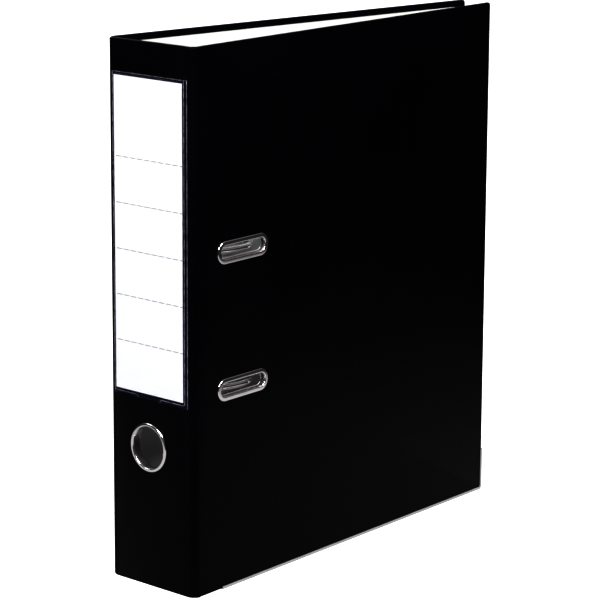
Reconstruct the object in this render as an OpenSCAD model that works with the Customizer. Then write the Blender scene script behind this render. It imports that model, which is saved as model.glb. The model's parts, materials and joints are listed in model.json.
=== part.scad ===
// Two-ring lever arch file for A4 paper, standing upright with its covers closed.
// +Z is up, +X runs from the spine to the fore edge, -Y is the front cover side.
// The origin is at the foot of the spine, in the middle of its width and thickness.

/* [File] */
// Height of the spine and covers
file_h = 318; // [312:1:324]
// Width of the spine between the outer faces of the covers
spine_w = 70; // [69:0.5:76]
// Width of a cover from the spine plane to its fore edge
cover_w = 288; // [280:1:296]
// Angle that each cover leans in towards the other one
lean = 4.7; // [4.3:0.1:4.9]
// Outer radius of the soft creases beside the spine
crease_r = 4.5; // [4:0.1:5]

/* [Board and covering] */
// Thickness of the greyboard inside each panel
board_t = 1.9; // [1.7:0.1:2.1]
// Thickness of the black covering
skin_t = 0.25; // [0.2:0.05:0.3]
// Thickness of the paper lining and of the covering turned in beside it
lining_t = 0.25; // [0.2:0.05:0.3]
// Width of the covering turned in round the lining
turn_in = 4; // [3:0.5:6]
// Corner radius of the covers at the fore edge
corner_r = 2; // [1.5:0.1:3]

/* [Edge rails] */
// Sheet thickness of the metal edge rails
rail_t = 0.35; // [0.3:0.05:0.5]
// Height of a rail's legs over the cover face
rail_leg = 1.7; // [1.4:0.1:2.5]
// Distance from the spine plane to the start of a rail
rail_start = 24.6; // [20:0.2:40]
// Height that a rail climbs up the fore edge
rail_rise = 27.4; // [20:0.2:40]

/* [Cover slots] */
// Distance from the spine plane to the middle of a slot
slot_x = 42.6; // [42:0.1:43.5]
// Length between the centres of a slot's round ends
slot_run = 31.8; // [30:0.2:33]
// Radius of a slot's round ends
slot_r = 4; // [4:0.1:4.4]
// Outer radius of the eyelet flange
slot_flange_r = 6.65; // [6.4:0.05:7]
// Height of the slots' middle
slot_z = 159; // [158.5:0.1:159.5]

/* [Spine fittings] */
// Radius of the opening in the finger ring
ring_r = 12.4; // [11.5:0.1:12.8]
// Outer radius of the finger ring's bead
ring_bead_r = 14.5; // [14.2:0.1:15]
// Height of the finger ring's centre
ring_z = 83.5; // [75:0.5:85]
// Sideways offset of the finger ring from the middle of the spine
ring_shift = 1.9; // [0:0.1:2]
// Width of the label card
label_w = 54.6; // [50:0.2:55]
// Height of the label card
label_h = 182; // [170:1:184]
// Height of the label card's lower edge
label_z = 115.1; // [114:0.1:118]
// Sideways offset of the label from the middle of the spine
label_shift = 1.2; // [0:0.1:1.2]
// Thickness of the label card
card_t = 0.3; // [0.2:0.05:0.35]
// Thickness of the clear film over the label
film_t = 0.25; // [0.2:0.05:0.3]

/* [Mechanism] */
// Height of the mechanism's middle
mech_z = 158; // [157.5:0.1:159]
// Distance between the two posts
post_pitch = 80; // [80]
// Distance from the spine plane to the posts
post_x = 68.8; // [68.8]
// Height of the posts over the lining
post_h = 35.3; // [34:0.1:35.5]
// Radius of the posts
post_r = 2.75; // [2.6:0.05:2.8]
// Radius of the arch wire
wire_r = 1.9; // [1.8:0.05:1.95]
// Corner radius at the top of the arches
bow_r = 20; // [18:0.5:20]
// Radius of the lever's roller
roller_r = 3.4; // [3.2:0.05:3.4]
// Length of the lever from its pivot to its tip
lever_len = 36; // [32:0.5:38]

/* [Hidden] */

$fn = 48;
eps = 0.5;                                   // how far a cutter runs past a face

// panels
panel_t = board_t + skin_t + lining_t;
fold = 90 + lean;                            // turn of the covering round a crease
tangent = crease_r * tan(fold / 2);          // where a flat panel meets its crease
crease_t = skin_t + 0.15;
crease_gap = 4;                              // free angle between crease and cover
spine_half = spine_w / 2 - tangent;          // half the flat width of the spine

// eyelets and finger ring
sleeve_t = 0.5;
slot_bead_h = 1.0;
clinch_t = 0.5;
clinch_r = slot_r + 1.6;
ring_bead_h = 1.2;
washer_t = 0.6;
washer_r = ring_bead_r + 1;

// label pocket
pocket_w = 60;
pocket_z = 111.4;
pocket_top = 299.4;
card_gap = 0.06;
notch_w = 18;
pocket_depth = card_t + 2 * card_gap + film_t;

// mechanism, measured across the cover (x), up the file (y) and off the lining (z)
plate_t = 1;
plate_x = [18, 78];
plate_half = 62;
plate_corner = 6;
pivot = [34, 4];                             // axis of the arch wire
leg_x = 24.8;                                // spine side of the arches
leg_bend = 13;                               // height where a leg turns to the pivot
ear_y = 28;
ear_t = 1.5;
fit = 0.06;                                  // running clearance on a radius
bend_swell = 0.02;                           // a wire is this much fatter in its bends
rod_lap = 0.3;                               // straight wire runs this far into a bend
crank_len = 10.98;
crank_dir = 1.09;
crank_half = 12.5;
hinge = [47.54, 13.33];                      // axis of the lever
lug_in = 7;
lug_t = 1.2;
lug_r = 2.9;
pin_r = 1.5;
roller_pin_r = 1;
roller_arm = 5.28;
roller_dir = 60.84;                          // angle from the handle to the roller
handle_dir = 165;                            // direction of the closed handle
cheek_in = 5;
cheek_t = 1.2;
cheek_r = 2.6;
rivet_r = 1.6;
rivet_fit = 0.05;
rivet_at = [23, 73];
rivet_y = 54;
bar_x = [61, 77];
bar_half = 52;
bar_z = 3.6;
bar_depth = 4;
bar_t = 1;
bar_hole_r = 3.7;
spring_r = 0.45;
spring_mean = 2.5;
spring_turns = 8;
spring_y = 16;
nose_h = 1.4;
cup_gap = 0.14;

black = [0.06, 0.06, 0.065];
chrome = [0.8, 0.81, 0.83];
steel = [0.66, 0.68, 0.7];
paper_white = [0.93, 0.94, 0.91];
greyboard = [0.6, 0.57, 0.5];

// ---- places ----

// x across the back cover from the spine plane, y up, z in from the outer face
module in_back() {
  translate([-panel_t / 2, spine_w / 2, 0])
    rotate([0, 0, -lean])
      rotate([90, 0, 0])
        children();
}

module in_front() {
  mirror([0, 1, 0])
    in_back()
      children();
}

// x across the spine, y up, z in from the outer face
module in_spine() {
  translate([-panel_t / 2, 0, 0])
    rotate([90, 0, 90])
      children();
}

// x across the back cover, y up from the middle of the mechanism, z off the lining
module in_mechanism() {
  in_back()
    translate([0, mech_z, panel_t])
      children();
}

// a point of the mechanism's side view, as a place for things that lie along y
module at_side(p) {
  translate([p[0], 0, p[1]])
    rotate([90, 0, 0])
      children();
}

// ---- shared shapes ----

// flat plate with its two corners at x1 rounded
module cover_plate(x0, x1, y0, y1, r, t) {
  linear_extrude(t) {
    translate([x0, y0])
      square([x1 - r - x0, y1 - y0]);
    translate([x1 - r - 0.001, y0 + r])
      square([r + 0.001, y1 - y0 - 2 * r]);
    for (y = [y0 + r, y1 - r])
      translate([x1 - r, y])
        circle(r);
  }
}

module slot_shape(r) {
  translate([-slot_run / 2, -r])
    square([slot_run, 2 * r]);
  for (x = [-1, 1])
    translate([x * slot_run / 2, 0])
      circle(r);
}

module slot_cuts(r) {
  for (y = [-1, 1])
    translate([slot_x, slot_z + y * post_pitch / 2, -eps])
      linear_extrude(panel_t + 2 * eps)
        slot_shape(r);
}

module rivet_cuts(r) {
  for (x = rivet_at, y = [-1, 1])
    translate([x, mech_z + y * rivet_y, -eps])
      cylinder(r = r, h = panel_t + 2 * eps);
}

// a rod from p to q
module rod(p, q, r) {
  d = q - p;
  translate(p)
    rotate([0, atan2(norm([d[0], d[1]]), d[2]), atan2(d[1], d[0])])
      cylinder(r = r, h = norm(d));
}

function unit(v) = v / norm(v);
function turn(a, b, c) = atan2(norm(cross(b - a, c - b)), (b - a) * (c - b));
function run_in(a, b, c, r) = r * tan(turn(a, b, c) / 2);

// the round bend at b of a wire that runs from a to c
module wire_bend(a, b, c, bend, r) {
  in_dir = unit(b - a);
  out_dir = unit(c - b);
  side = unit(out_dir - (in_dir * out_dir) * in_dir);
  axis = cross(in_dir, side);
  mid = b - in_dir * run_in(a, b, c, bend) + side * bend;
  multmatrix([
    [-side[0], in_dir[0], axis[0], mid[0]],
    [-side[1], in_dir[1], axis[1], mid[1]],
    [-side[2], in_dir[2], axis[2], mid[2]],
    [0, 0, 0, 1]
  ])
    rotate_extrude(angle = turn(a, b, c))
      translate([bend, 0])
        circle(r + bend_swell);
}

// a wire through the points p, with a bend of radius bends[i] at each inner point
module wire(p, bends, r) {
  last = len(p) - 1;
  cut = [for (i = [0:last])
    (i == 0 || i == last) ? 0 : run_in(p[i - 1], p[i], p[i + 1], bends[i])];
  for (i = [0:last - 1]) {
    way = unit(p[i + 1] - p[i]);
    lead = i == 0 ? 0 : rod_lap;
    tail = i == last - 1 ? 0 : rod_lap;
    rod(p[i] + way * (cut[i] - lead), p[i + 1] - way * (cut[i + 1] - tail), r);
  }
  for (i = [1:last - 1])
    wire_bend(p[i - 1], p[i], p[i + 1], bends[i], r);
}

// half-round bead between two radii, standing h over the axis y = 0
module bead_profile(r0, r1, h) {
  half = (r1 - r0) / 2;
  round_r = (half * half + h * h) / (2 * h);
  intersection() {
    translate([r0 + half, h - round_r])
      circle(round_r);
    translate([r0, 0])
      square([2 * half, h]);
  }
}

// ---- back cover, spine and front cover panels ----

module panel_board() {
  translate([0, 0, skin_t])
    cover_plate(tangent + 0.2, cover_w - skin_t, rail_t + skin_t, file_h - skin_t,
                corner_r - skin_t, board_t);
}

module panel_skin() {
  difference() {
    cover_plate(tangent, cover_w, rail_t, file_h, corner_r, panel_t);
    translate([0, 0, skin_t])
      cover_plate(tangent - eps, cover_w - skin_t, rail_t + skin_t, file_h - skin_t,
                  corner_r - skin_t, board_t);
    translate([tangent - eps, rail_t + turn_in, skin_t + board_t])
      cube([cover_w - turn_in - tangent + eps, file_h - rail_t - 2 * turn_in, lining_t + eps]);
  }
}

module panel_lining() {
  translate([tangent, rail_t + turn_in, skin_t + board_t])
    cube([cover_w - turn_in - tangent, file_h - rail_t - 2 * turn_in, lining_t]);
}

module edge_rail() {
  difference() {
    translate([0, 0, -rail_t])
      linear_extrude(panel_t + 2 * rail_t)
        intersection() {
          union() {
            square([cover_w - corner_r, rail_rise]);
            translate([0, corner_r + rail_t])
              square([cover_w + rail_t, rail_rise]);
            translate([cover_w - corner_r, corner_r + rail_t])
              circle(corner_r + rail_t);
          }
          translate([rail_start, 0])
            square([cover_w + rail_t - rail_start, rail_rise]);
        }
    cover_plate(0, cover_w, rail_t, file_h, corner_r, panel_t);
    translate([0, rail_leg, -rail_t - eps])
      cube([cover_w + rail_t - rail_leg, file_h, panel_t + 2 * rail_t + 2 * eps]);
  }
}

module back_board() {
  color(greyboard)
    in_back()
      difference() {
        panel_board();
        rivet_cuts(rivet_r + rivet_fit);
      }
}

module back_skin() {
  color(black)
    in_back()
      difference() {
        panel_skin();
        rivet_cuts(rivet_r + rivet_fit);
      }
}

module back_lining() {
  color(paper_white)
    in_back()
      difference() {
        panel_lining();
        rivet_cuts(rivet_r + rivet_fit);
      }
}

module back_edge_rail() {
  color(steel)
    in_back()
      edge_rail();
}

module front_board() {
  color(greyboard)
    in_front()
      difference() {
        panel_board();
        slot_cuts(slot_r + sleeve_t);
      }
}

module front_skin() {
  color(black)
    in_front()
      difference() {
        panel_skin();
        slot_cuts(slot_r + sleeve_t);
      }
}

module front_lining() {
  color(paper_white)
    in_front()
      difference() {
        panel_lining();
        slot_cuts(slot_r + sleeve_t);
      }
}

module front_edge_rail() {
  color(steel)
    in_front()
      edge_rail();
}

module crease() {
  translate([crease_r - panel_t / 2, spine_half, 0])
    rotate([0, 0, 90 - lean + crease_gap])
      rotate_extrude(angle = fold - crease_gap)
        translate([crease_r - crease_t, 0])
          square([crease_t, file_h]);
}

module back_crease() {
  color(black)
    crease();
}

module front_crease() {
  color(black)
    mirror([0, 1, 0])
      crease();
}

module ring_cut(r) {
  translate([ring_shift, ring_z, -eps])
    cylinder(r = r, h = panel_t + 2 * eps);
}

module spine_slab(half, y0, y1, z, t) {
  translate([-half, y0, z])
    cube([2 * half, y1 - y0, t]);
}

module spine_board() {
  color(greyboard)
    in_spine()
      difference() {
        spine_slab(spine_half, skin_t, file_h - skin_t, skin_t, board_t);
        ring_cut(ring_r + sleeve_t);
      }
}

module spine_skin() {
  color(black)
    in_spine()
      difference() {
        spine_slab(spine_half, 0, file_h, 0, panel_t);
        spine_slab(spine_half + eps, skin_t, file_h - skin_t, skin_t, board_t);
        spine_slab(spine_half + eps, turn_in, file_h - turn_in, skin_t + board_t,
                   lining_t + eps);
        ring_cut(ring_r + sleeve_t);
      }
}

module spine_lining() {
  color(paper_white)
    in_spine()
      difference() {
        spine_slab(spine_half, turn_in, file_h - turn_in, skin_t + board_t, lining_t);
        ring_cut(ring_r + sleeve_t);
      }
}

// ---- fittings on the covers ----

module eyelet_profile() {
  bead_profile(slot_r, slot_flange_r, slot_bead_h);
  translate([slot_r, -panel_t - clinch_t])
    square([sleeve_t, panel_t + clinch_t]);
  translate([slot_r, -panel_t - clinch_t])
    square([clinch_r - slot_r, clinch_t]);
}

// an oval eyelet about its own middle, with its bead towards -z
module slot_eyelet() {
  rotate([180, 0, 0]) {
    for (side = [0, 180])
      rotate([0, 0, side]) {
        translate([slot_run / 2, 0, 0])
          rotate([0, 0, -90])
            rotate_extrude(angle = 180)
              eyelet_profile();
        translate([-slot_run / 2, 0, 0])
          rotate([90, 0, 90])
            linear_extrude(slot_run)
              eyelet_profile();
      }
  }
}

module upper_slot_eyelet() {
  color(chrome)
    in_front()
      translate([slot_x, slot_z + post_pitch / 2, 0])
        slot_eyelet();
}

module lower_slot_eyelet() {
  color(chrome)
    in_front()
      translate([slot_x, slot_z - post_pitch / 2, 0])
        slot_eyelet();
}

module finger_ring() {
  lip = panel_t + washer_t;
  color(chrome)
    in_spine()
      translate([ring_shift, ring_z, 0])
        rotate([180, 0, 0])
          rotate_extrude($fn = 96) {
            bead_profile(ring_r, ring_bead_r, ring_bead_h);
            translate([ring_r, -lip - clinch_t])
              square([sleeve_t, lip + clinch_t]);
            translate([ring_r, -lip - clinch_t])
              square([ring_bead_r - ring_r, clinch_t]);
          }
}

module finger_ring_washer() {
  color(steel)
    in_spine()
      translate([ring_shift, ring_z, panel_t])
        difference() {
          cylinder(r = washer_r, h = washer_t, $fn = 96);
          translate([0, 0, -eps])
            cylinder(r = ring_r + sleeve_t, h = washer_t + 2 * eps, $fn = 96);
        }
}

module label_pocket() {
  room = label_w + 2 * card_gap;
  color([0.8, 0.85, 0.88, 0.35])
    in_spine()
      difference() {
        translate([-pocket_w / 2, pocket_z, -pocket_depth])
          cube([pocket_w, pocket_top - pocket_z, pocket_depth]);
        translate([label_shift - room / 2, label_z - card_gap, film_t - pocket_depth])
          cube([room, pocket_top, pocket_depth - film_t + eps]);
        translate([label_shift - notch_w / 2, pocket_z - eps, -pocket_depth - eps])
          cube([notch_w, 2 + eps, pocket_depth + 2 * eps]);
      }
}

module label_card() {
  color(paper_white)
    in_spine()
      translate([label_shift - label_w / 2, label_z, -card_t - card_gap])
        cube([label_w, label_h, card_t]);
}

// ---- lever arch mechanism ----

module arch_ear() {
  at_side(pivot)
    cylinder(r = 3.7, h = ear_t, center = true);
  translate([pivot[0] - 3.7, -ear_t / 2, plate_t / 2])
    cube([7.4, ear_t, pivot[1] - plate_t / 2]);
}

module lever_lug() {
  hull() {
    at_side(hinge)
      cylinder(r = lug_r, h = lug_t, center = true, $fn = 32);
    translate([50, -lug_t / 2, plate_t / 2])
      cube([10, lug_t, 1]);
  }
}

module base_plate() {
  lug_mid = lug_in + lug_t / 2;
  color(steel)
    in_mechanism()
      difference() {
        union() {
          linear_extrude(plate_t) {
            translate([plate_x[0], plate_corner - plate_half])
              square([plate_x[1] - plate_x[0], 2 * (plate_half - plate_corner)]);
            translate([plate_x[0] + plate_corner, -plate_half])
              square([plate_x[1] - plate_x[0] - 2 * plate_corner, 2 * plate_half]);
            for (x = [plate_x[0] + plate_corner, plate_x[1] - plate_corner], y = [-1, 1])
              translate([x, y * (plate_half - plate_corner)])
                circle(plate_corner);
          }
          for (y = [-1, 1]) {
            translate([0, y * ear_y, 0])
              arch_ear();
            translate([0, y * lug_mid, 0])
              lever_lug();
          }
        }
        at_side(pivot)
          cylinder(r = wire_r + fit, h = 2 * ear_y + 2 * ear_t, center = true);
        at_side(hinge)
          cylinder(r = pin_r, h = 4 * lug_in, center = true);
        for (x = rivet_at, y = [-1, 1])
          translate([x, y * rivet_y, -eps])
            cylinder(r = rivet_r + rivet_fit, h = plate_t + 2 * eps);
        for (y = [-1, 1])
          translate([post_x, y * post_pitch / 2, -eps])
            cylinder(r = 2, h = plate_t + 2 * eps);
      }
}

module mechanism_rivets() {
  head_h = 0.8;
  color(steel)
    in_mechanism()
      for (x = rivet_at, y = [-1, 1])
        translate([x, y * rivet_y, 0]) {
          translate([0, 0, -panel_t])
            cylinder(r = rivet_r, h = panel_t + plate_t);
          translate([0, 0, -panel_t - head_h])
            cylinder(r1 = 3.4, r2 = 4, h = head_h);
          translate([0, 0, plate_t])
            cylinder(r1 = 3, r2 = 2.2, h = head_h);
        }
}

module post() {
  color(chrome)
    translate([post_x, 0, 0])
      difference() {
        union() {
          cylinder(r = 2, h = plate_t);
          translate([0, 0, plate_t])
            cylinder(r = post_r, h = post_h - plate_t);
        }
        translate([0, 0, post_h - nose_h - cup_gap])
          cylinder(r1 = wire_r - nose_h, r2 = wire_r + cup_gap, h = nose_h + cup_gap);
        translate([0, 0, post_h])
          cylinder(r = wire_r + cup_gap, h = eps);
      }
}

module upper_post() {
  in_mechanism()
    translate([0, post_pitch / 2, 0])
      post();
}

module lower_post() {
  in_mechanism()
    translate([0, -post_pitch / 2, 0])
      post();
}

// corner points of one arch, from its tip to the crank, on the side y
function arch_points(y) = [
  [post_x, y * post_pitch / 2, post_h],
  [post_x, y * post_pitch / 2, post_h + bow_r],
  [leg_x, y * post_pitch / 2, post_h + bow_r],
  [leg_x, y * post_pitch / 2, leg_bend],
  [pivot[0], y * post_pitch / 2, pivot[1]],
  [pivot[0], y * crank_half, pivot[1]],
  [pivot[0] + crank_len * cos(crank_dir), y * crank_half,
   pivot[1] + crank_len * sin(crank_dir)]
];
arch_bends = [0, bow_r, bow_r, 8, 4, 3.5, 3.5];

function back_to_front(v) = [for (i = [len(v) - 1:-1:0]) v[i]];

module arch_wire() {
  p = arch_points(1);
  q = arch_points(-1);
  color(chrome)
    in_mechanism() {
      wire(concat(p, back_to_front(q)), concat(arch_bends, back_to_front(arch_bends)),
           wire_r);
      for (y = [-1, 1])
        translate([post_x, y * post_pitch / 2, post_h - nose_h])
          cylinder(r1 = wire_r - nose_h, r2 = wire_r, h = nose_h);
    }
}

module arch_springs() {
  pitch = 1.9 * spring_r;
  foot = spring_mean * cos(45);
  top_y = spring_y + (spring_turns - 1) * pitch;
  color(steel)
    in_mechanism()
      for (side = [0, 1])
        mirror([0, side, 0]) {
          at_side(pivot)
            rotate([180, 0, 0])
              rotate_extrude()
                for (i = [0:spring_turns - 1])
                  translate([spring_mean, spring_y + i * pitch])
                    circle(spring_r, $fn = 24);
          rod([pivot[0] - foot, top_y, pivot[1] - foot],
              [pivot[0] - 9, top_y, pivot[1] - foot], 0.9 * spring_r);
          rod([pivot[0] + foot, spring_y, pivot[1] - foot],
              [pivot[0] + 7, crank_half, pivot[1] - spring_mean], 0.9 * spring_r);
        }
}

// the lever's own frame: x along the handle, z away from its upper face
module in_lever() {
  in_mechanism()
    translate([hinge[0], 0, hinge[1]])
      rotate([0, -handle_dir, 0])
        children();
}

roller_at = roller_arm * [cos(roller_dir), sin(roller_dir)];

module cheek() {
  hull()
    for (c = [[0, 0, cheek_r], [roller_at[0], roller_at[1], cheek_r], [11, -1.2, 2]])
      translate([c[0], 0, c[1]])
        rotate([90, 0, 0])
          cylinder(r = c[2], h = cheek_t, center = true, $fn = 32);
  translate([6, -cheek_t / 2, -3.2])
    cube([lever_len - 15, cheek_t, 3.4]);
}

module lever() {
  pad_r = 9;
  color(chrome)
    in_lever()
      difference() {
        union() {
          for (y = [-1, 1])
            translate([0, y * (cheek_in + cheek_t / 2), 0])
              cheek();
          translate([0, 0, -3.4])
            linear_extrude(1.2) {
              translate([5, -cheek_in - cheek_t])
                square([lever_len - 5 - pad_r, 2 * (cheek_in + cheek_t)]);
              translate([lever_len - pad_r, 0])
                circle(pad_r);
            }
        }
        rotate([90, 0, 0])
          cylinder(r = pin_r + fit, h = 4 * cheek_in, center = true);
        translate([roller_at[0], 0, roller_at[1]])
          rotate([90, 0, 0])
            cylinder(r = roller_pin_r, h = 4 * cheek_in, center = true);
      }
}

module headed_pin(r, head_r, half, head_h) {
  rotate([90, 0, 0]) {
    cylinder(r = r, h = 2 * half, center = true);
    for (side = [0, 180])
      rotate([side, 0, 0])
        translate([0, 0, half])
          cylinder(r1 = head_r, r2 = head_r - 0.3, h = head_h);
  }
}

module lever_pin() {
  color(steel)
    in_lever()
      headed_pin(pin_r, 2.4, lug_in + lug_t, 0.7);
}

module roller_pin() {
  color(steel)
    in_lever()
      translate([roller_at[0], 0, roller_at[1]])
        headed_pin(roller_pin_r, 1.7, cheek_in + cheek_t, 0.4);
}

module roller() {
  color(steel)
    in_lever()
      translate([roller_at[0], 0, roller_at[1]])
        rotate([90, 0, 0])
          difference() {
            cylinder(r = roller_r, h = 2 * cheek_in - 0.6, center = true);
            cylinder(r = roller_pin_r + fit, h = 3 * cheek_in, center = true);
          }
}

module compressor_bar() {
  width = bar_x[1] - bar_x[0];
  color(black)
    in_mechanism()
      difference() {
        translate([bar_x[0], -bar_half, bar_z])
          cube([width, 2 * bar_half, bar_depth]);
        translate([bar_x[0] + bar_t, -bar_half - eps, bar_z - eps])
          cube([width - 2 * bar_t, 2 * bar_half + 2 * eps, bar_depth - bar_t + eps]);
        for (y = [-1, 1])
          translate([post_x, y * post_pitch / 2, 0])
            cylinder(r = bar_hole_r, h = 3 * bar_depth);
      }
}

back_board();
back_skin();
back_lining();
back_edge_rail();
back_crease();
spine_board();
spine_skin();
spine_lining();
front_crease();
front_board();
front_skin();
front_lining();
front_edge_rail();
upper_slot_eyelet();
lower_slot_eyelet();
finger_ring();
finger_ring_washer();
label_pocket();
label_card();
base_plate();
mechanism_rivets();
upper_post();
lower_post();
arch_wire();
arch_springs();
lever();
lever_pin();
roller();
roller_pin();
compressor_bar();
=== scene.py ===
import json
import math

import bmesh
import bpy
from mathutils import Matrix, Vector, noise


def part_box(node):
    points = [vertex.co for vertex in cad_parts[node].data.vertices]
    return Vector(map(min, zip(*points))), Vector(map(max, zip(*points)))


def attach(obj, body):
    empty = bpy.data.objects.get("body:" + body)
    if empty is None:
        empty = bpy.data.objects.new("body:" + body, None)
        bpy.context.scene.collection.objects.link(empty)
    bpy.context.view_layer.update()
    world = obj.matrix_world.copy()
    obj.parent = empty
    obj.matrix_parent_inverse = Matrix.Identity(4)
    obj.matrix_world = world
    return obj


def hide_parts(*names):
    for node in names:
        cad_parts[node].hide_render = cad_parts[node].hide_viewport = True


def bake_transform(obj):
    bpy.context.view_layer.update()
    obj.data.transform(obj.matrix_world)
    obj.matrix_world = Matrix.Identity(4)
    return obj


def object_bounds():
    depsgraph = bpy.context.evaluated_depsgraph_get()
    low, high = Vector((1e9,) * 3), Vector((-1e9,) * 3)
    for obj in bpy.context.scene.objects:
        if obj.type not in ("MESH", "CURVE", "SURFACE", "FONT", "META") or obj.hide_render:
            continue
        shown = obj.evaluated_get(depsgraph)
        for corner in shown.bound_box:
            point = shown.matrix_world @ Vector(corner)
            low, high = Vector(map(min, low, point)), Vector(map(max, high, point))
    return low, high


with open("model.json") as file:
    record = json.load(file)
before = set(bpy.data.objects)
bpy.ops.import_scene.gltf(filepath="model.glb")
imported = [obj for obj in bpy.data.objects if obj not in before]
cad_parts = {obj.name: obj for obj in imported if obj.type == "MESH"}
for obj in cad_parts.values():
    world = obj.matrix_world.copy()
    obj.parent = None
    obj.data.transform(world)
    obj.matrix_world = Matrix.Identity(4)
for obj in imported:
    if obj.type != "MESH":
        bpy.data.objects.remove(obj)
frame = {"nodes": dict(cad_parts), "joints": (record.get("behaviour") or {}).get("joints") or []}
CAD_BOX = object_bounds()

MM = 0.001
JOINTS = {joint["name"]: joint for joint in frame["joints"]}
BACK, FRONT = 1, -1                 # which side of the spine a cover is on
SIDES = ((BACK, "back"), (FRONT, "front"))

# ---- sizes and places, all from the frame ----

SPINE_LOW, SPINE_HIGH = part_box("spine_skin")
OUT_X = SPINE_LOW.x                 # outer face of the spine
PANEL_T = SPINE_HIGH.x - SPINE_LOW.x
FILE_H = SPINE_HIGH.z
SPINE_HALF = SPINE_HIGH.y           # half of the spine's flat width
FOLD = math.radians(JOINTS["front_crease_fold"]["range_deg"][1])
LEAN = FOLD - math.pi / 2
HINGE = Vector(JOINTS["back_crease_fold"]["pos_m"])
CREASE_R = (HINGE.x - OUT_X) / (1 - (FOLD / 2) / math.tan(FOLD / 2))
TANGENT = CREASE_R * math.tan(FOLD / 2)
CORNER_Y = SPINE_HALF + TANGENT     # where the cover and spine planes would cross
TURN_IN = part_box("spine_lining")[0].z

# ---- colours, from each material's darker patches to its lighter ones ----

COVERING_BLACK = (0.0006, 0.0007, 0.0013), (0.0012, 0.0012, 0.0020)
BOARD_GREY = (0.30, 0.28, 0.24), (0.44, 0.41, 0.36)
LINING_WHITE = (0.69, 0.71, 0.68), (0.72, 0.74, 0.71)
CARD_WHITE = (0.90, 0.90, 0.89), (0.94, 0.94, 0.93)
RULE_GREY = (0.27, 0.27, 0.20)
PLASTIC_BLACK = (0.008, 0.008, 0.009), (0.014, 0.014, 0.015)
FILM_BLUE = (0.018, 0.018, 0.07), (0.035, 0.035, 0.12)
WELD_MILKY = (0.04, 0.04, 0.06), (0.30, 0.30, 0.34)
CHROME_TINT = (0.83, 0.79, 0.81)
# a dark tint that paints the barrels' inner walls in shade
BARREL_SHADE_TINT = (0.20, 0.18, 0.20)
RAIL_TINT = (0.66, 0.67, 0.69)
ZINC_TINT = (0.60, 0.62, 0.65)


def on_cover(side, x, up, depth):
    """A point x across a cover from the spine plane, at a height, and in from its outer face."""
    across = x * math.cos(LEAN) - depth * math.sin(LEAN)
    out = CORNER_Y - x * math.sin(LEAN) - depth * math.cos(LEAN)
    return Vector((OUT_X + across, side * out, up))


def cover_coordinates(side, point):
    """The place of a point in its cover: across, up and in from the outer face."""
    dx, dy = point.x - OUT_X, side * point.y - CORNER_Y
    return (dx * math.cos(LEAN) - dy * math.sin(LEAN), point.z,
            -(dx * math.sin(LEAN) + dy * math.cos(LEAN)))


def on_spine(y, up, out):
    """A point on the spine, out from its outer face."""
    return Vector((OUT_X - out, y, up))


# ---- material helpers ----

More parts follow.
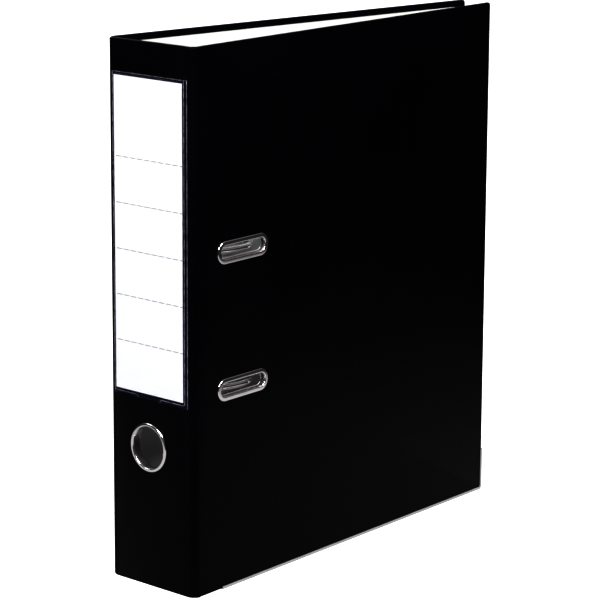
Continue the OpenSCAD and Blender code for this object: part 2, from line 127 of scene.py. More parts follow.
class Nodes:
    """A material's node tree with short ways to add to it."""

    def __init__(self, name):
        self.material = bpy.data.materials.new(name)
        self.material.use_nodes = True
        self.tree = self.material.node_tree
        self.bsdf = self.tree.nodes["Principled BSDF"]
        self.output = self.tree.nodes["Material Output"]
        self.place = self.add("ShaderNodeTexCoord").outputs["Object"]

    def add(self, kind, **settings):
        node = self.tree.nodes.new(kind)
        for key, value in settings.items():
            setattr(node, key, value)
        return node

    def link(self, source, target):
        self.tree.links.new(source, target)

    def set(self, **values):
        for key, value in values.items():
            self.bsdf.inputs[key.replace("_", " ")].default_value = value

    def scaled(self, scale):
        mapping = self.add("ShaderNodeMapping")
        mapping.inputs["Scale"].default_value = scale
        self.link(self.place, mapping.inputs["Vector"])
        return mapping.outputs["Vector"]

    def noise(self, per_metre, detail=3, stretch=(1, 1, 1)):
        node = self.add("ShaderNodeTexNoise")
        node.inputs["Scale"].default_value = per_metre
        node.inputs["Detail"].default_value = detail
        node.inputs["Roughness"].default_value = 0.5
        self.link(self.scaled(stretch), node.inputs["Vector"])
        return node.outputs["Fac"]

    def cells(self, per_metre):
        node = self.add("ShaderNodeTexVoronoi", feature="SMOOTH_F1")
        node.inputs["Scale"].default_value = per_metre
        self.link(self.place, node.inputs["Vector"])
        return node.outputs["Distance"]

    def ramp(self, source, low, high, start=0.3, end=0.7):
        """Takes a source from start to end, over low to high."""
        node = self.add("ShaderNodeMapRange")
        node.inputs["From Min"].default_value = start
        node.inputs["From Max"].default_value = end
        node.inputs["To Min"].default_value = low
        node.inputs["To Max"].default_value = high
        self.link(source, node.inputs["Value"])
        return node.outputs["Result"]

    def math(self, operation, a, b=0.0, c=0.0):
        node = self.add("ShaderNodeMath", operation=operation)
        for socket, value in zip(node.inputs, (a, b, c)):
            if isinstance(value, (int, float)):
                socket.default_value = value
            else:
                self.link(value, socket)
        return node.outputs["Value"]

    def blend(self, fac, a, b):
        node = self.add("ShaderNodeMix", data_type="RGBA")
        self.link(fac, node.inputs["Factor"])
        for key, value in (("A", a), ("B", b)):
            socket = [s for s in node.inputs if s.name == key and s.type == "RGBA"][0]
            if isinstance(value, tuple):
                socket.default_value = (*value, 1)
            else:
                self.link(value, socket)
        return [s for s in node.outputs if s.type == "RGBA"][0]

    def patchy(self, source, colours):
        return self.blend(self.ramp(source, 0, 1), *colours)

    def bump(self, height, distance, strength=1.0, under=None):
        node = self.add("ShaderNodeBump")
        node.inputs["Distance"].default_value = distance
        node.inputs["Strength"].default_value = strength
        self.link(height, node.inputs["Height"])
        if under is not None:
            self.link(under, node.inputs["Normal"])
        return node.outputs["Normal"]

    def wear(self, color, roughness, normal):
        self.link(color, self.bsdf.inputs["Base Color"])
        self.link(roughness, self.bsdf.inputs["Roughness"])
        self.link(normal, self.bsdf.inputs["Normal"])
        return self.material

    def mix_shaders(self, fac, a, b):
        """Sends out shader a mixed with shader b, by a number or a socket."""
        mix = self.add("ShaderNodeMixShader")
        if isinstance(fac, float):
            mix.inputs["Fac"].default_value = fac
        else:
            self.link(fac, mix.inputs["Fac"])
        self.link(a, mix.inputs[1])
        self.link(b, mix.inputs[2])
        self.link(mix.outputs["Shader"], self.output.inputs["Surface"])


def covering_material():
    """Black coated paper with a fine pebbled emboss over a slow unevenness."""
    n = Nodes("covering")
    pebbles = n.cells(1100)
    fine = n.noise(2600, 2)
    cloud = n.noise(18, 4)
    n.set(Specular_IOR_Level=0.03)
    uneven = n.bump(n.ramp(cloud, 0, 1), 0.1 * MM, 0.25)
    grain = n.math("ADD", pebbles, n.math("MULTIPLY", fine, 0.3))
    return n.wear(n.patchy(cloud, COVERING_BLACK), n.ramp(cloud, 0.36, 0.46),
                  n.bump(grain, 0.05 * MM, 0.5, uneven))


def board_material():
    n = Nodes("greyboard")
    fibre = n.noise(900, 6, (1, 1, 3))
    return n.wear(n.patchy(fibre, BOARD_GREY), n.ramp(fibre, 0.85, 0.95),
                  n.bump(fibre, 0.1 * MM, 0.6))


def lining_material():
    """Off-white paper with a faint green cast."""
    n = Nodes("lining")
    fibre = n.noise(1400, 5, (1, 1, 0.4))
    patch = n.noise(30, 3)
    n.set(Specular_IOR_Level=0.25)
    return n.wear(n.patchy(patch, LINING_WHITE), n.ramp(fibre, 0.62, 0.75),
                  n.bump(fibre, 0.05 * MM, 0.35))


def label_material():
    """White card with dashed rules across it."""
    n = Nodes("label")
    rules = 5
    pitch = 26.75 * MM
    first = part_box("label_card")[0].z + 28.7 * MM
    half_line = 0.22 * MM
    dash = 5.7 * MM
    inked = 0.75
    split = n.add("ShaderNodeSeparateXYZ")
    n.link(n.place, split.inputs["Vector"])
    up = n.math("SUBTRACT", split.outputs["Z"], first)
    off = n.math("ABSOLUTE", n.math("WRAP", up, pitch / 2, -pitch / 2))
    line = n.math("LESS_THAN", off, half_line)
    from_middle = n.math("ABSOLUTE", n.math("SUBTRACT", up, (rules - 1) / 2 * pitch))
    ruled = n.math("LESS_THAN", from_middle, (rules / 2 - 0.1) * pitch)
    dashes = n.math("LESS_THAN", n.math("WRAP", split.outputs["Y"], dash, 0.0), dash * inked)
    rule = n.math("MULTIPLY", n.math("MULTIPLY", line, ruled), dashes)
    fibre = n.noise(1600, 5)
    n.set(Specular_IOR_Level=0.3)
    return n.wear(n.blend(rule, n.patchy(fibre, CARD_WHITE), RULE_GREY),
                  n.ramp(fibre, 0.5, 0.6), n.bump(fibre, 0.03 * MM, 0.2))


def metal_material(name, tint, rough, streak, bump=0.15):
    """Plated steel: low streaks along z, fine pits and a clouded polish."""
    n = Nodes(name)
    lines = n.noise(700, 4, (1, 1, streak))
    cloud = n.noise(90, 3)
    dark = tuple(c * 0.86 for c in tint)
    n.set(Metallic=1.0)
    level = n.math("ADD", n.ramp(lines, 0, rough * 0.6), n.ramp(cloud, rough * 0.7, rough))
    return n.wear(n.patchy(cloud, (dark, tint)), level, n.bump(lines, 0.02 * MM, bump))


def plastic_material():
    """Moulded plastic with a fine spark-eroded grain."""
    n = Nodes("black_plastic")
    grain = n.cells(1500)
    cloud = n.noise(60, 3)
    return n.wear(n.patchy(cloud, PLASTIC_BLACK), n.ramp(cloud, 0.42, 0.5),
                  n.bump(grain, 0.04 * MM, 0.4))


def film_material():
    """Clear film with a faint blue cast: see-through, with a soft glaze."""
    n = Nodes("film")
    glaze = 0.045
    ripple = n.noise(55, 2, (1, 1, 0.25))
    n.set(Metallic=0.0, IOR=1.5, Specular_IOR_Level=0.45)
    n.wear(n.patchy(ripple, FILM_BLUE), n.ramp(ripple, 0.10, 0.16),
           n.bump(ripple, 0.25 * MM, 0.5))
    clear = n.add("ShaderNodeBsdfTransparent")
    clear.inputs["Color"].default_value = (0.985, 0.99, 1.0, 1)
    n.mix_shaders(glaze, clear.outputs["BSDF"], n.bsdf.outputs["BSDF"])
    return n.material


def weld_material():
    """Film melted together along its welds and cut edges, which goes milky."""
    n = Nodes("weld")
    cloud = n.noise(320, 3)
    return n.wear(n.patchy(cloud, WELD_MILKY), n.ramp(cloud, 0.2, 0.35),
                  n.bump(cloud, 0.05 * MM, 0.3))


COVERING = covering_material()
BOARD = board_material()
LINING = lining_material()
LABEL = label_material()
CHROME = metal_material("chrome", CHROME_TINT, rough=0.07, streak=0.2, bump=0.05)
# Dark rough metal for the barrel sleeves: painted shade inside the eyelets and finger ring.
SHADED_BARREL = metal_material("barrel_painted_shade", BARREL_SHADE_TINT, rough=0.4, streak=0.3)
SATIN = metal_material("satin_lip", CHROME_TINT, rough=0.42, streak=0.3)
RAIL = metal_material("rail", RAIL_TINT, rough=0.3, streak=6)
PLATE = metal_material("zinc_plate", ZINC_TINT, rough=0.26, streak=0.4)
PLASTIC = plastic_material()
FILM = film_material()
WELD = weld_material()

# ---- mesh helpers ----

def new_piece(name, verts, faces, material, slot):
    """A smooth-shaded mesh object in a material slot, its faces turned outwards; the slot argument is
    not used.
    """
    mesh = bpy.data.meshes.new(name)
    mesh.from_pydata([tuple(v) for v in verts], [], faces)
    mesh.validate()
    body = bmesh.new()
    body.from_mesh(mesh)
    bmesh.ops.recalc_face_normals(body, faces=body.faces)
    body.to_mesh(mesh)
    body.free()
    mesh.materials.append(material)
    mesh.polygons.foreach_set("use_smooth", [True] * len(mesh.polygons))
    piece = bpy.data.objects.new(name, mesh)
    bpy.context.scene.collection.objects.link(piece)
    return piece


def grid_faces(rows, cols, wrap_rows=False, wrap_cols=False):
    """Quads between rows of points, each row cols long."""
    faces = []
    for i in range(rows if wrap_rows else rows - 1):
        for j in range(cols if wrap_cols else cols - 1):
            a, b = i * cols, (i + 1) % rows * cols
            k = (j + 1) % cols
            faces.append((a + j, a + k, b + k, b + j))
    return faces


def arc(centre, radius, start, end, steps):
    """Points of a round stretch, angles in degrees."""
    angles = [math.radians(start + (end - start) * i / steps) for i in range(steps + 1)]
    return [(centre[0] + radius * math.cos(a), centre[1] + radius * math.sin(a)) for a in angles]


def tube(points, radius, sides):
    """Vertices and faces of a round wire along a path, with closed ends."""
    verts = []
    way = (points[1] - points[0]).normalized()
    side = way.orthogonal().normalized()
    for i, point in enumerate(points):
        ahead = points[min(i + 1, len(points) - 1)] - points[max(i - 1, 0)]
        way = ahead.normalized()
        side = (side - way * side.dot(way)).normalized()
        up = way.cross(side)
        for j in range(sides):
            turn = 2 * math.pi * j / sides
            verts.append(point + (side * math.cos(turn) + up * math.sin(turn)) * radius)
    faces = grid_faces(len(points), sides, wrap_cols=True)
    last = (len(points) - 1) * sides
    faces.append(tuple(range(sides))[::-1])
    faces.append(tuple(last + j for j in range(sides)))
    return verts, faces


def join_shapes(shapes):
    verts, faces = [], []
    for part_verts, part_faces in shapes:
        start = len(verts)
        verts += part_verts
        faces += [tuple(start + i for i in face) for face in part_faces]
    return verts, faces


def smooth_path(points, steps):
    """A curve through the points (Catmull-Rom), with the given steps between each pair."""
    out = []
    for i in range(len(points) - 1):
        before, a = points[max(i - 1, 0)], points[i]
        b, after = points[i + 1], points[min(i + 2, len(points) - 1)]
        for k in range(steps):
            t = k / steps
            out.append(0.5 * (2 * a + (b - before) * t
                              + (2 * before - 5 * a + 4 * b - after) * t ** 2
                              + (3 * a - before - 3 * b + after) * t ** 3))
    out.append(points[-1])
    return out


def bevel_modifier(node, width):
    """Softens a CAD node's sharp edges without touching its mesh."""
    piece = frame["nodes"][node]
    weld = piece.modifiers.new("weld", "WELD")
    weld.merge_threshold = 0.001 * MM
    bevel = piece.modifiers.new("soft_edges", "BEVEL")
    bevel.width = width
    bevel.segments = 3
    bevel.limit_method = "ANGLE"
    bevel.angle_limit = math.radians(35)
    even = piece.modifiers.new("even_shading", "WEIGHTED_NORMAL")
    even.keep_sharp = True


def paint(material, *nodes):
    for node in nodes:
        piece = frame["nodes"][node]
        piece.data.materials.clear()
        piece.data.materials.append(material)


# ---- covering of the three panels ----

def from_lowest(corners):
    """A face's corners in the same turn, its lowest first, so that each run gives the same mesh."""
    first = corners.index(min(corners))
    return corners[first:] + corners[:first]


def covering_piece(name, node, body, is_rim):
    """The panel's covering, rounded where it wraps the board's edges."""
    rim_radius = 0.7 * MM
    same_point = 0.002 * MM
    flat, square, sharp = math.radians(0.5), math.radians(60), math.radians(28)
    shape = bmesh.new()
    shape.from_mesh(frame["nodes"][node].data)
    bmesh.ops.remove_doubles(shape, verts=shape.verts, dist=same_point)
    bmesh.ops.dissolve_limit(shape, angle_limit=flat, verts=shape.verts, edges=shape.edges)
    rim = [e for e in shape.edges
           if len(e.link_faces) == 2 and e.calc_face_angle(0) > square
           and all(is_rim(v.co) for v in e.verts)]
    bmesh.ops.bevel(shape, geom=rim, offset=rim_radius, segments=4, profile=0.5,
                    affect="EDGES", clamp_overlap=True)
    bmesh.ops.triangulate(shape, faces=[f for f in shape.faces if len(f.verts) > 4])
    shape.verts.index_update()
    verts = [v.co.copy() for v in shape.verts]
    faces = sorted(from_lowest([v.index for v in f.verts]) for f in shape.faces)
    shape.free()
    piece = new_piece(name, verts, faces, COVERING, "covering")
    piece.data.set_sharp_from_angle(angle=sharp)
    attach(piece, body)
    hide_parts(node)


def panel_coverings():
    near = 0.02 * MM
    corner = 2.1 * MM
    for side, label in SIDES:
        points = [cover_coordinates(side, v.co)
                  for v in frame["nodes"][label + "_skin"].data.vertices]
        fore = max(p[0] for p in points)
        low = min(p[1] for p in points)
        high = max(p[1] for p in points)

        def is_cover_rim(co, side=side, fore=fore, low=low, high=high):
            x, up, depth = cover_coordinates(side, co)
            on_face = abs(depth) < near or abs(depth - PANEL_T) < near
            at_end = up < low + near or up > high - near
            near_end = up < low + corner or up > high - corner
            return on_face and (x > fore - near or at_end or (x > fore - corner and near_end))

        covering_piece(label + "_covering", label + "_skin", label + "_cover", is_cover_rim)

    def is_spine_rim(co):
        on_face = abs(co.x - SPINE_LOW.x) < near or abs(co.x - SPINE_HIGH.x) < near
        return on_face and (co.z < near or co.z > FILE_H - near)

    covering_piece("spine_covering", "spine_skin", "spine", is_spine_rim)


# ---- creases ----

CREASE_T = 0.5 * MM                 # covering over a crease, with its glue and backing
PAPER_T = 0.18 * MM                 # lining paper


def round_crease(side, angle, radius):
    """A point round the crease's centre: angle 0 faces the cover's outer side, FOLD the spine's."""
    turn = math.pi / 2 - LEAN + angle
    return Vector((OUT_X + CREASE_R + radius * math.cos(turn),
                   side * (SPINE_HALF + radius * math.sin(turn)), 0))


def sheet(points, levels, thickness, shift=lambda i, up: 0.0):
    """A thin closed sheet along a path in plan, standing over the given (height, share) levels."""
    count = len(points)
    normals = []
    for i in range(count):
        ahead = points[min(i + 1, count - 1)] - points[max(i - 1, 0)]
        normals.append(Vector((ahead.y, -ahead.x, 0)).normalized())
    line = list(enumerate(zip(points, normals)))
    verts = []
    for up, share in levels:
        lift = Vector((0, 0, up))
        half = thickness / 2 * share
        verts += [p + n * (half + shift(i, up)) + lift for i, (p, n) in line]
        verts += [p - n * (half - shift(i, up)) + lift for i, (p, n) in reversed(line)]
    cols = 2 * count
    faces = grid_faces(len(levels), cols, wrap_cols=True)
    last = (len(levels) - 1) * cols
    for i in range(count - 1):
        faces.append((i, i + 1, cols - 2 - i, cols - 1 - i))
        faces.append((last + i, last + cols - 1 - i, last + cols - 2 - i, last + i + 1))
    return verts, faces


def round_levels(low, high, radius, between):
    """Heights with the share of full thickness at each, rounding off both ends."""
    steps = 5
    ends = [(radius * (1 - math.cos(math.pi / 2 * i / steps)),
             max(0.04, math.sin(math.pi / 2 * i / steps))) for i in range(steps + 1)]
    span = high - low - 2 * radius
    middle = [(low + radius + span * i / between, 1.0) for i in range(1, between)]
    return ([(low + d, s) for d, s in ends] + middle
            + [(high - d, s) for d, s in reversed(ends)])


def crease_covering(side, label):
    """The covering's strip over a crease, turned over the board's ends in small pleats."""
    steps = 28
    pleats = 7
    pleat_depth, pleat_reach = 0.16 * MM, 3.5 * MM
    rim_radius, extra_at_corner = 0.7 * MM, 0.8 * MM
    first_up = 0.2 * MM
    clear_of_rim = 4 * MM

    def tuck_in(i, up):
        middle = math.sin(math.pi * i / steps)
        away = min(up, FILE_H - up)
        radius = rim_radius + extra_at_corner * middle
        left = min(max(0.0, radius - away), radius)
        turn = radius - math.sqrt(radius ** 2 - left ** 2)
        fade = max(0.0, 1 - away / pleat_reach)
        pleat = pleat_depth * fade * middle * math.sin(pleats * math.pi * i / steps)
        return side * (pleat - turn)

    # Rows of points come closer towards the ends, where the rim is rounded.
    path = [round_crease(side, FOLD * i / steps, CREASE_R - CREASE_T / 2) for i in range(steps + 1)]
    rim = [d * MM for d in (0.0, 0.03, 0.1, 0.2, 0.35, 0.55, 0.8, 1.1, 1.5, 2.1, 2.8, 3.5)]
    middle = [clear_of_rim + (FILE_H - 2 * clear_of_rim) * i / 60 for i in range(61)]
    heights = [first_up + d for d in rim] + middle + [FILE_H - d for d in reversed(rim)]
    levels = [(up, min(1.0, 0.1 + min(up, FILE_H - up) / (0.25 * MM))) for up in heights]
    verts, faces = sheet(path, levels, CREASE_T, tuck_in)
    strip = new_piece(label + "_crease_covering", verts, faces, COVERING, "covering")
    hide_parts(label + "_crease")
    return strip


def crease_inside(side):
    """The lining's path in plan across a crease: from the cover, down its edge, and up the spine's."""
    gap = CREASE_T + PAPER_T / 2 + 0.03 * MM
    over = PANEL_T + PAPER_T / 2 + 0.02 * MM
    edge = ((2.6, over), (1.2, over), (0.25, over - 0.12 * MM),
            (-0.22, PANEL_T - 0.7 * MM), (-0.12, PANEL_T - 1.35 * MM))
    cover_end = [on_cover(side, TANGENT + x * MM, 0, depth) for x, depth in edge]
    middle = [round_crease(side, FOLD * i / 7, CREASE_R - gap) for i in range(1, 7)]
    spine_end = [Vector((OUT_X + depth, side * (SPINE_HALF - x * MM), 0))
                 for x, depth in reversed(edge)]
    return smooth_path(cover_end + middle + spine_end, 4)


def crease_pieces():
    """Over each crease, strips of covering and lining, and the covering's turned-in ends."""
    for side, label in SIDES:
        strip = crease_covering(side, label)
        inside = crease_inside(side)
        levels = round_levels(TURN_IN, FILE_H - TURN_IN, PAPER_T / 2, 24)
        paper = new_piece(label + "_crease_lining", *sheet(inside, levels, PAPER_T), LINING, "lining")
        tucks = [sheet(inside, round_levels(low, high, PAPER_T / 2, 4), PAPER_T)
                 for low, high in ((0.6 * MM, TURN_IN), (FILE_H - TURN_IN, FILE_H - 0.4 * MM))]
        tuck = new_piece(label + "_crease_turn_in", *join_shapes(tucks), COVERING, "covering")
        for piece in (strip, paper, tuck):
            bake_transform(piece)


# ---- eyelets and finger ring ----

def on_front(x, up, out):
    """A point on the front cover, out from its outer face."""
    return on_cover(FRONT, x, up, -out)


def ring_piece(name, body, material, stations, profile, place, node=None):
    """A profile (radius, height) carried round the stations (x, up, turn)."""
    verts = []
    for x, up, turn in stations:
        for radius, height in profile:
            verts.append(place(x + radius * math.cos(turn), up + radius * math.sin(turn), height))
    faces = grid_faces(len(stations), len(profile), wrap_rows=True, wrap_cols=True)
    piece = new_piece(name, verts, faces, material, "chrome")
    piece.data.set_sharp_from_angle(angle=math.radians(50))
    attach(piece, body)
    if node:
        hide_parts(node)


def sleeve_profile(hole, near, far):
    """A thin dark sleeve lining a barrel, between two depths: painted shade on the barrel's inner
    wall.
    """
    wall = 0.1 * MM
    soft = 0.05 * MM
    return [(hole, -near), (hole - wall, -near - soft), (hole - wall, soft - far), (hole, -far)]


def slot_profile(hole, rim, knee):
    """Round the eyelet's section: barrel, rolled rim, back through the board, clinched collar."""
    inner_roll, outer_roll, collar_roll = 0.55 * MM, 0.62 * MM, 0.6 * MM
    barrel_out = hole + 0.48 * MM
    collar_out = hole + 1.5 * MM
    profile = [(hole, -0.5 * knee), (hole, -0.1 * MM)]
    profile += arc((hole + inner_roll, 0.4 * MM), inner_roll, 180, 80, 8)
    profile += arc((rim - outer_roll, 0.32 * MM), outer_roll, 80, -28, 9)
    profile += [(rim - 0.4 * MM, 0.0), (barrel_out, 0.0), (barrel_out, -PANEL_T)]
    profile += [(collar_out, -PANEL_T), (collar_out, -knee)]
    return profile + arc((hole + collar_roll, -knee), collar_roll, 330, 180, 9)


def slot_stations(node, rim):
    """Two half turns round the ends of a slot eyelet, on the middle line of its slot."""
    steps = 24
    corners = [cover_coordinates(FRONT, v.co) for v in frame["nodes"][node].data.vertices]
    lows = [min(c[k] for c in corners) for k in (0, 1)]
    highs = [max(c[k] for c in corners) for k in (0, 1)]
    across, up = [(low + high) / 2 for low, high in zip(lows, highs)]
    half_run = (highs[0] - lows[0]) / 2 - rim
    return [(across + end * half_run, up, math.radians(first + 180 * i / steps))
            for end, first in ((1, -90), (-1, 90)) for i in range(steps + 1)]


def slot_eyelets():
    hole = 4.0 * MM
    rim = 6.65 * MM
    lip = 0.32 * MM
    knee = PANEL_T + 0.5 * MM
    for label in ("upper", "lower"):
        node = label + "_slot_eyelet"
        stations = slot_stations(node, rim)
        for part, material, profile, covers in (
                ("rim", CHROME, slot_profile(hole, rim, knee), node),
                # the dark sleeve paints shade on the barrel's inner wall
                ("sleeve", SHADED_BARREL, sleeve_profile(hole, 0.4 * MM, knee - 2 * lip), None),
                ("lip", SATIN, arc((hole, lip - knee), lip, 0, 324, 9), None)):
            ring_piece(label + "_slot_" + part, "front_cover", material, stations, profile,
                       on_front, covers)


def finger_ring():
    steps = 128
    low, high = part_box("finger_ring")
    centre = (low + high) / 2
    outer = (high.y - low.y) / 2
    hole = outer - 2.1 * MM
    through = high.x - OUT_X + 1.0 * MM
    washer_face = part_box("finger_ring_washer")[1].x - OUT_X
    inner_roll, outer_roll, bead, end_roll = 0.72 * MM, 0.78 * MM, 0.28 * MM, 0.35 * MM
    barrel_out = hole + 0.48 * MM
    profile = [(hole, 0.3 * MM - through), (hole, -0.5 * through), (hole, 0.0)]
    profile += arc((hole + inner_roll, 0.5 * MM), inner_roll, 180, 75, 9)
    profile += arc((outer - outer_roll, 0.4 * MM), outer_roll, 75, -30, 9)
    profile += [(outer - 0.5 * MM, 0.0), (barrel_out, 0.0), (barrel_out, -washer_face)]
    profile += arc((outer - 0.5 * MM, -washer_face - 0.3 * MM), bead, 80, -70, 5)
    profile += arc((hole + end_roll, end_roll - through), end_roll, 300, 180, 7)
    stations = [(centre.y, centre.z, 2 * math.pi * i / steps) for i in range(steps)]
    ring_piece("finger_ring_rim", "spine", CHROME, stations, profile, on_spine, "finger_ring")
    # Its dark sleeve paints shade on the barrel's inner wall.
    ring_piece("finger_ring_sleeve", "spine", SHADED_BARREL, stations,
               sleeve_profile(hole, 0.1 * MM, through - 0.4 * MM), on_spine)


# ---- label pocket ----

POCKET_LOW, POCKET_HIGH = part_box("label_pocket")
CARD_LOW, CARD_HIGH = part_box("label_card")
FILM_T = 0.12 * MM
FILM_OFF = 0.03 * MM                # the film's least distance from the spine
CARD_LIFT = OUT_X - CARD_LOW.x + 0.05 * MM
EDGE_IN = 0.3 * MM                  # how far the film's edges are inside the pocket's box
WELD_GAP = 1.3 * MM                 # from the card to the side welds
WELD_LEFT, WELD_RIGHT = CARD_HIGH.y + WELD_GAP, CARD_LOW.y - WELD_GAP
WELD_FOOT = CARD_LOW.z - 1.7 * MM
FILM_TOP = POCKET_HIGH.z - EDGE_IN
FILM_FOOT = POCKET_LOW.z + EDGE_IN
NOTCH_MID = (CARD_LOW.y + CARD_HIGH.y) / 2 + 0.4 * MM
NOTCH_HALF = 9.2 * MM               # half of the gap in the foot weld


def smooth_step(x):
    x = min(1.0, max(0.0, x))
    return x * x * (3 - 2 * x)


def film_height(y, z):
    """How far the film stands off the spine: down at its welds, lifted and rippled over the card."""
    notch_open = 0.75
    rise = smooth_step(min(WELD_LEFT - y, y - WELD_RIGHT) / WELD_GAP)
    from_foot = smooth_step((z - WELD_FOOT) / WELD_GAP)
    if abs(y - NOTCH_MID) < NOTCH_HALF:
        from_foot = max(from_foot, notch_open)
    ripple = noise.noise(Vector((y * 60, z * 18, 3.7))) * 0.05 * MM
    return FILM_OFF + rise * from_foot * (CARD_LIFT + ripple * rise)


def spread(a, b, knots, steps):
    """Even places from a to b, with finer ones about the knots."""
    base = [a + (b - a) * i / steps for i in range(steps + 1)]
    extra = [k + d * WELD_GAP / 4 for k in knots for d in range(-5, 6)]
    return sorted(v for v in base + extra if a <= v <= b)


def label_film():
    across = spread(POCKET_LOW.y + EDGE_IN, POCKET_HIGH.y - EDGE_IN, (WELD_LEFT, WELD_RIGHT), 30)
    heights = spread(FILM_FOOT, FILM_TOP, (WELD_FOOT,), 60)
    rows, cols = len(heights), len(across)
    verts = [on_spine(y, z, film_height(y, z) + out)
             for out in (FILM_T, 0.0) for z in heights for y in across]
    size = rows * cols
    front = grid_faces(rows, cols)
    faces = front + [tuple(size + i for i in face[::-1]) for face in front]
    rim = (list(range(cols)) + [i * cols + cols - 1 for i in range(1, rows)]
           + [(rows - 1) * cols + j for j in range(cols - 2, -1, -1)]
           + [i * cols for i in range(rows - 2, 0, -1)])
    for a, b in zip(rim, rim[1:] + rim[:1]):
        faces.append((a, b, size + b, size + a))
    film = new_piece("label_film", verts, faces, FILM, "film")
    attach(film, "spine")
    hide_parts("label_pocket")


def seam(points, radius, out):
    return tube([on_spine(y, z, out) for y, z in points], radius, 8)


def weld_path(side_y, notch_y, inward, first, last):
    """Down one side of the pocket, round its foot corner and in to the notch in the foot weld."""
    corner = 1.5 * MM
    bend = arc((side_y + inward * corner, WELD_FOOT + corner), corner, first, last, 6)
    down = WELD_FOOT + corner - FILM_TOP
    points = [(side_y, FILM_TOP)] + [(side_y, FILM_TOP + down * i / 40) for i in range(1, 40)]
    points += bend + [(notch_y - inward * corner * 0.6, WELD_FOOT)]
    return points + [(notch_y, WELD_FOOT - 0.5 * MM), (notch_y + inward * 0.1 * MM, FILM_FOOT)]


def pocket_welds():
    left = weld_path(WELD_LEFT, NOTCH_MID + NOTCH_HALF, -1, 0, -90)
    right = weld_path(WELD_RIGHT, NOTCH_MID - NOTCH_HALF, 1, 180, 270)
    out = 0.15 * MM
    shapes = [seam(left, 0.09 * MM, out), seam(right, 0.14 * MM, out)]
    weld = new_piece("label_pocket_welds", *join_shapes(shapes), WELD, "film")
    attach(weld, "spine")


def pocket_edges():
    """Sealed edges of the film down both sides, and the lip of its open top."""
    low_y, high_y = POCKET_LOW.y + EDGE_IN, POCKET_HIGH.y - EDGE_IN
    steps = 60
    shapes = []
    for y, radius in ((low_y, 0.13 * MM), (high_y, 0.08 * MM)):
        side = [(y, FILM_FOOT + (FILM_TOP - FILM_FOOT) * i / steps) for i in range(steps + 1)]
        shapes.append(seam(side, radius, 0.1 * MM))
    lip = [low_y + (POCKET_HIGH.y - POCKET_LOW.y - 2 * EDGE_IN) * i / steps for i in range(steps + 1)]
    path = [on_spine(y, FILM_TOP, film_height(y, FILM_TOP) + FILM_T / 2 + 0.07 * MM) for y in lip]
    shapes.append(tube(path, 0.08 * MM, 8))
    edges = new_piece("label_pocket_edges", *join_shapes(shapes), WELD, "film")
    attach(edges, "spine")


# ---- mechanism ----

SPRING_WIRE = 0.42 * MM             # radius
SOFT_EDGES = {                      # bevel widths of the CAD nodes that show, in mm
    "back_edge_rail": 0.1, "front_edge_rail": 0.1, "base_plate": 0.2, "mechanism_rivets": 0.25,
    "lever": 0.25, "lever_pin": 0.2, "roller_pin": 0.15, "roller": 0.25, "upper_post": 0.15,
    "lower_post": 0.15, "compressor_bar": 0.3, "finger_ring_washer": 0.15, "label_card": 0.05,
}


def spring_path(axis, side):
    """One torsion spring's wire: a leg to the base plate, the coils, and a leg to the arch."""
    first_coil = 16.0 * MM          # from the file's mid height
    coil = 2.5 * MM
    pitch = 2.03 * SPRING_WIRE
    turns, per_turn = 7, 28
    plate_leg, plate_leg_drop, arch_leg = 7 * MM, 3.2 * MM, 8 * MM
    across = Vector((math.cos(LEAN), -math.sin(LEAN), 0))
    off = Vector((-math.sin(LEAN), -math.cos(LEAN), 0))
    foot = first_coil - plate_leg_drop
    points = [axis + across * plate_leg - off * coil + Vector((0, 0, side * foot))]
    for i in range(turns * per_turn + 1):
        turn = 2 * math.pi * i / per_turn - math.pi / 4
        up = side * (first_coil + pitch * i / per_turn)
        points.append(axis + across * coil * math.cos(turn) + off * coil * math.sin(turn)
                      + Vector((0, 0, up)))
    points.append(points[-1] - across * arch_leg)
    return points


def mechanism_springs():
    """Close-wound torsion springs on the arch wire."""
    axis = Vector(JOINTS["arch_swing"]["pos_m"])
    shapes = [tube(spring_path(axis, side), SPRING_WIRE, 12) for side in (1, -1)]
    springs = new_piece("torsion_springs", *join_shapes(shapes), PLATE, "plate")
    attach(springs, "back_cover")
    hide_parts("arch_springs")


def finish_cad_nodes():
    paint(BOARD, "back_board", "front_board", "spine_board")
    paint(LINING, "back_lining", "front_lining", "spine_lining")
    paint(RAIL, "back_edge_rail", "front_edge_rail")
    paint(LABEL, "label_card")
    paint(CHROME, "upper_post", "lower_post", "arch_wire", "lever")
    paint(PLATE, "base_plate", "mechanism_rivets", "lever_pin", "roller_pin", "roller",
          "finger_ring_washer")
    paint(PLASTIC, "compressor_bar")
    for node, width in SOFT_EDGES.items():
        bevel_modifier(node, width * MM)


# ---- studio ----

WHITE = (1, 1, 1, 1)
AMBIENT = (0.85, 0.6, 1, 1)         # a faint violet fills the shadows
SOFTBOXES = (                       # name, place in metres, side in metres, power in watts
    ("top_softbox", (0.15, -1.0, 1.5), 0.75, 27),
    ("left_softbox", (-1.25, -0.35, 1.5), 0.7, 35),
    ("back_left_softbox", (-0.9, 1.2, 1.3), 0.7, 7),
    ("back_softbox", (0.6, 1.6, 1.1), 0.8, 8),
)


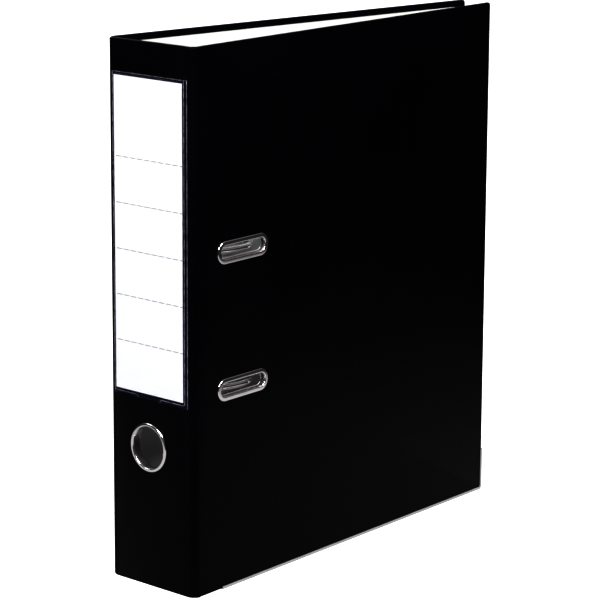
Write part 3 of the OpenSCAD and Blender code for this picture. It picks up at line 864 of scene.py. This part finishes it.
def floor_material():
    """White to the eye, lit softly, and in reflections bright only round the file's foot."""
    n = Nodes("pale_floor")
    camera_glow = 1.1
    near_glow, far_glow, near, far = 0.58, 0.03, 0.32, 0.8
    cloud = n.noise(2.0, 2)
    n.set(Specular_IOR_Level=0.0)
    n.wear(n.patchy(cloud, ((0.34, 0.34, 0.34), (0.36, 0.36, 0.36))),
           n.ramp(cloud, 0.8, 0.9), n.bump(cloud, 0.1 * MM, 0.1))
    path = n.add("ShaderNodeLightPath")
    glow = n.add("ShaderNodeEmission")
    n.link(n.math("MULTIPLY", path.outputs["Is Camera Ray"], camera_glow), glow.inputs["Strength"])
    lit = n.add("ShaderNodeAddShader")
    n.link(n.bsdf.outputs["BSDF"], lit.inputs[0])
    n.link(glow.outputs["Emission"], lit.inputs[1])
    away = n.add("ShaderNodeVectorMath", operation="LENGTH")
    n.link(n.place, away.inputs[0])
    dim = n.add("ShaderNodeEmission")
    n.link(n.ramp(away.outputs["Value"], near_glow, far_glow, near, far), dim.inputs["Strength"])
    n.mix_shaders(path.outputs["Is Glossy Ray"], lit.outputs["Shader"], dim.outputs["Emission"])
    return n.material


def pale_floor():
    reach = 6.0
    mesh = bpy.data.meshes.new("floor")
    corners = [(-reach, -reach, 0), (reach, -reach, 0), (reach, reach, 0), (-reach, reach, 0)]
    mesh.from_pydata(corners, [], [(0, 1, 2, 3)])
    mesh.materials.append(floor_material())
    floor = bpy.data.objects.new("floor", mesh)
    floor.location.z = min(0.0, CAD_BOX[0].z) - 0.05 * MM
    bpy.context.scene.collection.objects.link(floor)


def studio_world():
    """White all round to the eye, soft light, and dim with a bright ceiling in reflections."""
    world = bpy.data.worlds.new("studio")
    bpy.context.scene.world = world
    world.use_nodes = True
    tree = world.node_tree
    tree.nodes.clear()
    link = tree.links.new

    def add(kind, **values):
        node = tree.nodes.new(kind)
        for key, value in values.items():
            node.inputs[key.replace("_", " ")].default_value = value
        return node

    def mix(fac, a, b):
        node = add("ShaderNodeMixShader")
        link(fac, node.inputs["Fac"])
        link(a, node.inputs[1])
        link(b, node.inputs[2])
        return node.outputs["Shader"]

    path = add("ShaderNodeLightPath")
    place = add("ShaderNodeTexCoord")
    split = add("ShaderNodeSeparateXYZ")
    link(place.outputs["Generated"], split.inputs["Vector"])
    ceiling = add("ShaderNodeMapRange", From_Min=0.3, From_Max=0.9, To_Min=0.03, To_Max=0.4)
    link(split.outputs["Z"], ceiling.inputs["Value"])
    seen = add("ShaderNodeBackground", Color=WHITE, Strength=1.0)
    soft = add("ShaderNodeBackground", Color=AMBIENT, Strength=0.12)
    mirrored = add("ShaderNodeBackground", Color=WHITE)
    link(ceiling.outputs["Result"], mirrored.inputs["Strength"])
    light = mix(path.outputs["Is Glossy Ray"], soft.outputs["Background"],
                mirrored.outputs["Background"])
    shown = mix(path.outputs["Is Camera Ray"], light, seen.outputs["Background"])
    link(shown, add("ShaderNodeOutputWorld").inputs["Surface"])


def softboxes():
    middle = Vector((0.1, 0, 0.16))
    for name, place, size, power in SOFTBOXES:
        lamp = bpy.data.lights.new(name, "AREA")
        lamp.shape = "SQUARE"
        lamp.size = size
        lamp.energy = power
        light = bpy.data.objects.new(name, lamp)
        light.location = place
        light.rotation_euler = (middle - Vector(place)).to_track_quat("-Z", "Y").to_euler()
        bpy.context.scene.collection.objects.link(light)


def camera():
    """The photograph's viewing angle, with the crisp contrast of a catalogue picture."""
    place = (-1.06067, -1.09903, 0.51473)
    heading, tilt, roll = math.radians(47.137), math.radians(12.70), math.radians(0.312)
    lens = bpy.data.cameras.new("camera")
    lens.sensor_width = 36
    lens.lens = 165.06
    lens.clip_start = 0.05
    lens.clip_end = 30
    turn = (Matrix.Rotation(-heading, 4, "Z") @ Matrix.Rotation(math.pi / 2 - tilt, 4, "X")
            @ Matrix.Rotation(roll, 4, "Z"))
    eye = bpy.data.objects.new("camera", lens)
    eye.matrix_world = Matrix.Translation(place) @ turn
    bpy.context.scene.collection.objects.link(eye)
    bpy.context.scene.camera = eye
    view = bpy.context.scene.view_settings
    view.view_transform = "Standard"
    view.look = "None"
    view.exposure = 0.4
    view.gamma = 0.75


finish_cad_nodes()
panel_coverings()
crease_pieces()
slot_eyelets()
finger_ring()
label_film()
pocket_welds()
pocket_edges()
mechanism_springs()
pale_floor()
studio_world()
softboxes()
camera()
